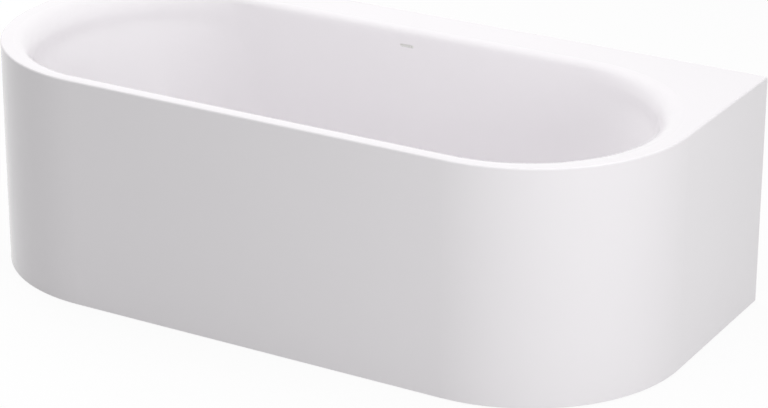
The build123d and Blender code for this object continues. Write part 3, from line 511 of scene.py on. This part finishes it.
def softwood_material(name, colour):
    """Planed softwood with grain along the bath."""
    material, hand, shader = start_material(name, colour)
    place = hand.add("ShaderNodeTexCoord")
    mapping = hand.add("ShaderNodeMapping")
    mapping.inputs["Scale"].default_value = (1.5, 28.0, 28.0)
    grain = hand.add("ShaderNodeTexNoise", noise_dimensions="3D")
    grain.inputs["Scale"].default_value = 5.0
    grain.inputs["Detail"].default_value = 8.0
    grain.inputs["Distortion"].default_value = 0.4
    ramp = hand.add("ShaderNodeValToRGB")
    ramp.color_ramp.elements[0].position = 0.36
    ramp.color_ramp.elements[0].color = (*(0.55 * c for c in colour), 1.0)
    ramp.color_ramp.elements[1].position = 0.6
    ramp.color_ramp.elements[1].color = (*colour, 1.0)
    rough = hand.add("ShaderNodeMapRange")
    rough.inputs["To Min"].default_value = 0.55
    rough.inputs["To Max"].default_value = 0.8
    hand.join(place.outputs["Object"], mapping.inputs["Vector"])
    hand.join(mapping.outputs["Vector"], grain.inputs["Vector"])
    hand.join(grain.outputs["Fac"], ramp.inputs["Fac"])
    hand.join(grain.outputs["Fac"], rough.inputs["Value"])
    hand.join(ramp.outputs["Color"], shader.inputs["Base Color"])
    hand.join(rough.outputs["Result"], shader.inputs["Roughness"])
    add_bump(hand, shader, grain.outputs["Fac"], 0.3, 0.4 * MM)
    return material


def chipboard_material(name, colour):
    """Pressed wood chips of several tones."""
    material, hand, shader = start_material(name, colour)
    place = hand.add("ShaderNodeTexCoord")
    chips = hand.add("ShaderNodeTexVoronoi", voronoi_dimensions="3D", feature="F1")
    chips.inputs["Scale"].default_value = 260.0
    grey = hand.add("ShaderNodeSeparateColor")
    ramp = hand.add("ShaderNodeValToRGB")
    ramp.color_ramp.elements[0].color = (*(0.5 * c for c in colour), 1.0)
    ramp.color_ramp.elements[1].color = (*(min(1.0, 1.5 * c) for c in colour), 1.0)
    rough = hand.add("ShaderNodeMapRange")
    rough.inputs["To Min"].default_value = 0.7
    rough.inputs["To Max"].default_value = 0.9
    hand.join(place.outputs["Object"], chips.inputs["Vector"])
    hand.join(chips.outputs["Color"], grey.inputs["Color"])
    hand.join(grey.outputs["Red"], ramp.inputs["Fac"])
    hand.join(grey.outputs["Blue"], rough.inputs["Value"])
    hand.join(ramp.outputs["Color"], shader.inputs["Base Color"])
    hand.join(rough.outputs["Result"], shader.inputs["Roughness"])
    add_bump(hand, shader, chips.outputs["Distance"], 0.4, 0.5 * MM)
    return material


def make_finishes(finish):
    """Every finish by its slot's name."""
    return {
        "white_acrylic": acrylic_material("basin_acrylic", finish, False),
        "skirt_acrylic": acrylic_material("skirt_acrylic", finish, True),
        "bare_wood": softwood_material("planed_softwood", finish.softwood),
        "chipboard": chipboard_material("pressed_chipboard", finish.chipboard),
        "zinc_plated_steel": spangle_material("zinc_spangle", finish.zinc),
        "plated_fasteners": plain_material("bright_zinc", finish.zinc, 0.25, 0.4, 1.0, 300.0),
        "chrome_trim": plain_material("polished_chrome", finish.chrome, 0.04, 0.1, 1.0, 80.0, 0.02, 0.02),
        "brass_fitting": plain_material("turned_brass", finish.brass, 0.22, 0.36, 1.0, 200.0),
        "seal_rubber": plain_material("seal_rubber", finish.rubber, 0.55, 0.75, 0.0, 220.0, 0.15),
        "white_plumbing_plastic": plain_material("white_moulding", finish.white_plastic, 0.35, 0.5),
        "grey_plumbing_plastic": plain_material("grey_moulding", finish.grey_plastic, 0.4, 0.55),
        "hose_plastic": plain_material("hose_moulding", finish.white_plastic, 0.3, 0.42, 0.0, 90.0),
        "foot_plastic": plain_material("black_moulding", finish.black_plastic, 0.45, 0.62, 0.0, 160.0, 0.12),
    }


def finish_of(slot):
    """The finish made for a slot."""
    return bpy.data.materials[FINISH_NAMES[slot]]


class BATH_OT_finishes(bpy.types.Operator):
    """Make every finish and give each sub-part its own"""

    bl_idname = "bath.finishes"
    bl_label = "Finishes"

    def execute(self, context):
        made = make_finishes(context.scene.bath_finish)
        FINISH_NAMES.update({slot: material.name for slot, material in made.items()})
        for node, piece in frame["nodes"].items():
            slot = "skirt_acrylic" if node == "outer_skirt" else SLOT_OF[node]
            piece.data.materials.clear()
            piece.data.materials.append(made[slot])
        return {"FINISHED"}


def islands(node):
    """The boxes of a sub-part's separate solids, in order."""
    piece = frame["nodes"][node]
    places, parents, index = {}, [], []

    def root(i):
        while parents[i] != i:
            i = parents[i]
        return i

    for vertex in piece.data.vertices:
        key = tuple(round(c, 5) for c in piece.matrix_world @ vertex.co)
        if key not in places:
            places[key] = len(parents)
            parents.append(len(parents))
        index.append(places[key])
    for edge in piece.data.edges:
        first, second = (root(index[i]) for i in edge.vertices)
        parents[max(first, second)] = min(first, second)
    boxes = {}
    for key, i in places.items():
        low, high = boxes.setdefault(root(i), (list(key), list(key)))
        for axis in range(3):
            low[axis] = min(low[axis], key[axis])
            high[axis] = max(high[axis], key[axis])
    return sorted(boxes.values())


def middle(box):
    """The middle of a box in plan."""
    low, high = box
    return (low[0] + high[0]) / 2, (low[1] + high[1]) / 2


def moved(form, matrix):
    """A form's points through a matrix, with the same faces."""
    points, faces = form
    return [matrix @ Vector(point) for point in points], faces


def joined(forms):
    """Several forms as one list of points and one of faces."""
    points, faces = [], []
    for some, sides in forms:
        start = len(points)
        points += some
        faces += [tuple(i + start for i in side) for side in sides]
    return points, faces


def rings(rows, closed):
    """Faces round rows of points, which end in caps or, if closed, meet again."""
    around = len(rows[0])
    points = [point for row in rows for point in row]
    faces = []
    for i in range(len(rows) if closed else len(rows) - 1):
        below, above = i * around, (i + 1) % len(rows) * around
        for k in range(around):
            after = (k + 1) % around
            faces.append((below + k, below + after, above + after, above + k))
    if not closed:
        faces.append(tuple(reversed(range(around))))
        faces.append(tuple(range(len(points) - around, len(points))))
    return points, faces


def circle_point(radius, angle, z):
    """A point on a circle round Z."""
    return radius * cos(angle), radius * sin(angle), z


def hex_form(flats, low, high, bore=0.0):
    """A hexagonal nut or head with its corners turned down at both ends."""
    turned = TURNED_SHARE * flats / 2
    rows = [[] for _ in range(6 if bore else 4)]
    for k in range(FACETS_ROUND_A_NUT):
        angle = 2 * pi * k / FACETS_ROUND_A_NUT
        reach = flats / 2 / cos(angle % (pi / 3) - pi / 6)
        drop = CHAMFER_RISE * (reach - turned)
        profile = [(turned, low), (reach, low + drop), (reach, high - drop), (turned, high)]
        if bore:
            profile = [(bore, low), *profile, (bore, high)]
        for row, (radius, z) in zip(rows, profile):
            row.append(circle_point(radius, angle, z))
    return rings(rows, bool(bore))


def threaded_rod(radius, depth, pitch, low, high):
    """A rod with a right-hand thread and a turned-down tip."""
    count = int((high - low) / pitch * RINGS_IN_A_THREAD_TURN)
    root = radius - depth
    rows = []
    for j in range(count + 1):
        z = low + (high - low) * j / count
        row = []
        for k in range(FACETS_ROUND_A_THREAD):
            turn = k / FACETS_ROUND_A_THREAD
            flank = 1.0 - abs(2 * ((z / pitch - turn) % 1.0) - 1)
            reach = min(radius, root + depth * FLANK_STEEPNESS * flank, root + high - z)
            row.append(circle_point(reach, 2 * pi * turn, z))
        rows.append(row)
    return rings(rows, False)


def round_screw(head_radius, head, radius, length):
    """A round-headed screw along +Z, with its head below Z = 0."""
    arc = [pi / 2 * i / RINGS_ON_A_SCREW_HEAD for i in range(1, RINGS_ON_A_SCREW_HEAD + 1)]
    profile = [(head_radius * sin(a), -head * cos(a)) for a in arc]
    profile += [(radius, 0.0), (radius, length - radius), (TIP_SHARE * radius, length)]
    angles = [2 * pi * k / FACETS_ROUND_A_SCREW for k in range(FACETS_ROUND_A_SCREW)]
    return rings([[circle_point(reach, angle, z) for angle in angles] for reach, z in profile], False)


def box_form(length, width, low, high):
    """A box centred on Z."""
    x, y = length / 2, width / 2
    rows = [[(-x, -y, z), (x, -y, z), (x, y, z), (-x, y, z)] for z in (low, high)]
    return rings(rows, False)


def mesh_of(name, form):
    """A mesh from a form's points and faces."""
    mesh = bpy.data.meshes.new(name)
    points, faces = form
    mesh.from_pydata(points, [], faces)
    mesh.shade_smooth()
    mesh.set_sharp_from_angle(angle=CRISP_EDGE)
    return mesh


def carved(form, cutter):
    """A form with a cutter taken out of it."""
    pieces = [bpy.data.objects.new("carve", mesh_of("carve", one)) for one in (form, cutter)]
    for piece in pieces:
        bpy.context.scene.collection.objects.link(piece)
    cut = pieces[0].modifiers.new("cut", "BOOLEAN")
    cut.operation = "DIFFERENCE"
    cut.solver = "EXACT"
    cut.object = pieces[1]
    graph = bpy.context.evaluated_depsgraph_get()
    left = bpy.data.meshes.new_from_object(pieces[0].evaluated_get(graph))
    made = [tuple(v.co) for v in left.vertices], [tuple(side.vertices) for side in left.polygons]
    for piece in pieces:
        bpy.data.objects.remove(piece)
    if not made[1]:
        raise RuntimeError("the recess left nothing of its screw")
    return made


def add_piece(name, form, slot, body, stands_for=()):
    """A visible piece on a body, in a slot's finish."""
    mesh = mesh_of(name, form)
    mesh.materials.append(finish_of(slot))
    piece = bpy.data.objects.new(name, mesh)
    bpy.context.scene.collection.objects.link(piece)
    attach(piece, body)
    for node in stands_for:
        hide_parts(node)
    return piece


def nuts_at(node, flats, bore):
    """A turned nut at each solid of a sub-part."""
    made = []
    for box in islands(node):
        low, high = box
        x, y = middle(box)
        nut = hex_form(flats, low[2], high[2], bore)
        made.append(moved(nut, Matrix.Translation((x, y, 0))))
    return joined(made)


class BATH_OT_nuts(bpy.types.Operator):
    """Make the nuts with turned corners that stand for the plain ones"""

    bl_idname = "bath.nuts"
    bl_label = "Nuts"

    def execute(self, context):
        sizes = context.scene.bath_fittings
        for node in ("rail_weld_nuts", "foot_lock_nuts"):
            form = nuts_at(node, sizes.nut_flats, sizes.stud_radius + sizes.thread_gap)
            add_piece(f"turned_{node}", form, "plated_fasteners", "bath", (node,))
        bore = sizes.bracket_bolt_radius + sizes.thread_gap
        form = nuts_at("skirt_bracket_nuts", sizes.bracket_nut_flats, bore)
        add_piece("turned_bracket_nuts", form, "plated_fasteners", "bath", ("skirt_bracket_nuts",))
        return {"FINISHED"}


class BATH_OT_studs(bpy.types.Operator):
    """Make the threaded studs of the feet"""

    bl_idname = "bath.studs"
    bl_label = "Threaded studs"

    def execute(self, context):
        sizes = context.scene.bath_fittings
        for corner in FEET:
            node = f"foot_stud_{corner}"
            box = islands(node)[0]
            low, high = box[0][2], box[1][2]
            neck = low + sizes.head_height
            rod = threaded_rod(sizes.stud_radius, sizes.thread_depth, sizes.thread_pitch, neck, high)
            head = hex_form(sizes.nut_flats, low, neck)
            x, y = middle(box)
            form = moved(joined([rod, head]), Matrix.Translation((x, y, 0)))
            add_piece(f"threaded_stud_{corner}", form, "plated_fasteners", f"stud_{corner}", (node,))
        return {"FINISHED"}


class BATH_OT_screws(bpy.types.Operator):
    """Make the screws with a cross recess in their heads"""

    bl_idname = "bath.screws"
    bl_label = "Screws"

    def execute(self, context):
        sizes = context.scene.bath_fittings
        bottom = sizes.recess_depth - sizes.screw_head
        arm = box_form(sizes.recess_length, sizes.recess_width, -2 * sizes.screw_head, bottom)
        for node in ("rail_screws", "wall_bracket_screws"):
            screws = []
            for box in islands(node):
                low, high = box
                head_radius = (high[0] - low[0]) / 2
                length = high[2] - low[2] - sizes.screw_head
                screw = round_screw(head_radius, sizes.screw_head, sizes.screw_radius, length)
                screw = carved(carved(screw, arm), moved(arm, Matrix.Rotation(pi / 2, 4, "Z")))
                x, y = middle(box)
                place = Matrix.Translation((x, y, low[2] + sizes.screw_head))
                screws.append(moved(screw, place))
            add_piece(f"recessed_{node}", joined(screws), "plated_fasteners", "bath", (node,))
        return {"FINISHED"}


def slot_bar(near, far, straight, radius, thickness):
    """One bar across a round-ended slot, between two places along it."""
    upper = []
    for k in range(STEPS_ALONG_A_BAR + 1):
        x = near + (far - near) * k / STEPS_ALONG_A_BAR
        past = max(0.0, abs(x) - straight)
        upper.append((x, sqrt(radius * radius - past * past)))
    outline = [(x, -y) for x, y in upper] + list(reversed(upper))
    return rings([[(x, y, z) for x, y in outline] for z in (0.0, thickness)], False)


class BATH_OT_overflow_grille(bpy.types.Operator):
    """Make the light grille that shows in the overflow slot"""

    bl_idname = "bath.overflow_grille"
    bl_label = "Overflow grille"

    def execute(self, context):
        sizes = context.scene.bath_fittings
        low, high = islands("overflow_gasket")[0]
        centre = (Vector(low) + Vector(high)) / 2
        outward = Vector((0.0, cos(sizes.slot_lean), -sin(sizes.slot_lean)))
        face = centre - outward * (sizes.slot_depth - sizes.grille_setback)
        radius = sizes.slot_width / 2 - sizes.grille_clearance
        straight = (sizes.slot_length - sizes.slot_width) / 2
        reach = straight + GRILLE_END_SHARE * radius
        pitch = 2 * reach / sizes.grille_bars
        bars = []
        for k in range(sizes.grille_bars):
            near = -reach + k * pitch + sizes.grille_gap / 2
            far = near + pitch - sizes.grille_gap
            bars.append(slot_bar(near, far, straight, radius, sizes.grille_thickness))
        turn = Matrix.Rotation(-pi / 2 - sizes.slot_lean, 4, "X")
        form = moved(joined(bars), Matrix.Translation(face) @ turn)
        add_piece("overflow_grille", form, "white_plumbing_plastic", "bath")
        return {"FINISHED"}


def softbox(name, power, size, place, aim):
    """An area lamp that faces a point."""
    lamp = bpy.data.lights.new(name, "AREA")
    lamp.shape = "RECTANGLE"
    lamp.size, lamp.size_y = size
    lamp.energy = power
    piece = bpy.data.objects.new(name, lamp)
    piece.location = place
    piece.visible_camera = False
    piece.visible_glossy = False
    piece.rotation_euler = (Vector(aim) - Vector(place)).to_track_quat("-Z", "Y").to_euler()
    bpy.context.scene.collection.objects.link(piece)


def seen_directly(hand):
    """One for the eye and for reflections, nought for the light that a surface throws on others."""
    path = hand.add("ShaderNodeLightPath")
    seen = hand.add("ShaderNodeMath", operation="ADD", use_clamp=True)
    hand.join(path.outputs["Is Camera Ray"], seen.inputs[0])
    hand.join(path.outputs["Is Glossy Ray"], seen.inputs[1])
    return seen.outputs[0]


def light_world(strength):
    """Even room light, and a white background for the eye and for reflections."""
    world = bpy.data.worlds.new("studio_room")
    bpy.context.scene.world = world
    world.use_nodes = True
    hand = NodeChain(world.node_tree)
    room = world.node_tree.nodes["Background"]
    room.inputs["Color"].default_value = WHITE
    room.inputs["Strength"].default_value = strength
    white = hand.add("ShaderNodeBackground")
    white.inputs["Color"].default_value = WHITE
    white.inputs["Strength"].default_value = 1.0
    mix = hand.add("ShaderNodeMixShader")
    hand.join(seen_directly(hand), mix.inputs["Fac"])
    hand.join(room.outputs["Background"], mix.inputs[1])
    hand.join(white.outputs["Background"], mix.inputs[2])
    hand.join(mix.outputs["Shader"], world.node_tree.nodes["World Output"].inputs["Surface"])


def floor_material(colour):
    """A pale floor that reads white to the eye and keeps a soft shadow."""
    material, hand, shader = start_material("pale_floor", colour)
    shader.inputs["Roughness"].default_value = 0.9
    shader.inputs["Specular IOR Level"].default_value = 0.0
    white = hand.add("ShaderNodeBsdfDiffuse")
    white.inputs["Color"].default_value = FLOOR_WHITE
    glow = hand.add("ShaderNodeEmission")
    glow.inputs["Strength"].default_value = 1.0
    look = hand.add("ShaderNodeMixShader")
    look.inputs["Fac"].default_value = FLOOR_GLOW
    mix = hand.add("ShaderNodeMixShader")
    hand.join(white.outputs["BSDF"], look.inputs[1])
    hand.join(glow.outputs["Emission"], look.inputs[2])
    hand.join(seen_directly(hand), mix.inputs["Fac"])
    hand.join(shader.outputs["BSDF"], mix.inputs[1])
    hand.join(look.outputs["Shader"], mix.inputs[2])
    hand.join(mix.outputs["Shader"], material.node_tree.nodes["Material Output"].inputs["Surface"])
    return material


class BATH_OT_stage(bpy.types.Operator):
    """Make the pale floor, the soft light and the camera"""

    bl_idname = "bath.stage"
    bl_label = "Studio"

    def execute(self, context):
        studio = context.scene.bath_studio
        mesh = bpy.data.meshes.new("floor")
        corners = [(x * FLOOR_REACH, y * FLOOR_REACH, 0) for x, y in ((-1, -1), (1, -1), (1, 1), (-1, 1))]
        mesh.from_pydata(corners, [], [(0, 1, 2, 3)])
        floor = bpy.data.objects.new("floor", mesh)
        context.scene.collection.objects.link(floor)
        mesh.materials.append(floor_material(studio.floor_colour))
        light_world(studio.world_light)
        for name, size, place, aim in SOFTBOXES:
            softbox(f"{name}_softbox", getattr(studio, name), size, place, aim)
        context.scene.view_settings.view_transform = "Standard"
        lens = bpy.data.cameras.new("photo_camera")
        lens.lens = studio.lens
        lens.sensor_width = 36.0
        lens.shift_x, lens.shift_y = studio.shift_x, studio.shift_y
        lens.clip_end = 200.0
        camera = bpy.data.objects.new("photo_camera", lens)
        camera.location = studio.place
        camera.rotation_euler = (pi / 2 - studio.elevation, 0.0, studio.azimuth)
        context.scene.collection.objects.link(camera)
        context.scene.camera = camera
        return {"FINISHED"}


STEPS = (
    BATH_OT_finishes,
    BATH_OT_nuts,
    BATH_OT_studs,
    BATH_OT_screws,
    BATH_OT_overflow_grille,
    BATH_OT_stage,
)


# The scene's settings, by name
SETTINGS = {
    "bath_studio": BathStudioSettings,
    "bath_finish": BathFinishSettings,
    "bath_fittings": BathFittingSettings,
}


class BATH_PT_panel(bpy.types.Panel):
    """The bath's steps in order, and its settings"""

    bl_idname = "BATH_PT_panel"
    bl_label = "Bath"
    bl_space_type = "VIEW_3D"
    bl_region_type = "UI"
    bl_category = "Bath"

    def draw(self, context):
        for step in STEPS:
            self.layout.operator(step.bl_idname)
        for name, kind in SETTINGS.items():
            for value in kind.__annotations__:
                self.layout.prop(getattr(context.scene, name), value)


CLASSES = (*SETTINGS.values(), *STEPS, BATH_PT_panel)


def register():
    for one in CLASSES:
        bpy.utils.register_class(one)
    for name, kind in SETTINGS.items():
        setattr(bpy.types.Scene, name, bpy.props.PointerProperty(type=kind))


def unregister():
    for name in SETTINGS:
        delattr(bpy.types.Scene, name)
    for one in reversed(CLASSES):
        bpy.utils.unregister_class(one)


def main():
    register()
    bpy.ops.bath.finishes()
    bpy.ops.bath.nuts()
    bpy.ops.bath.studs()
    bpy.ops.bath.screws()
    bpy.ops.bath.overflow_grille()
    bpy.ops.bath.stage()


if __name__ == "__main__":
    main()
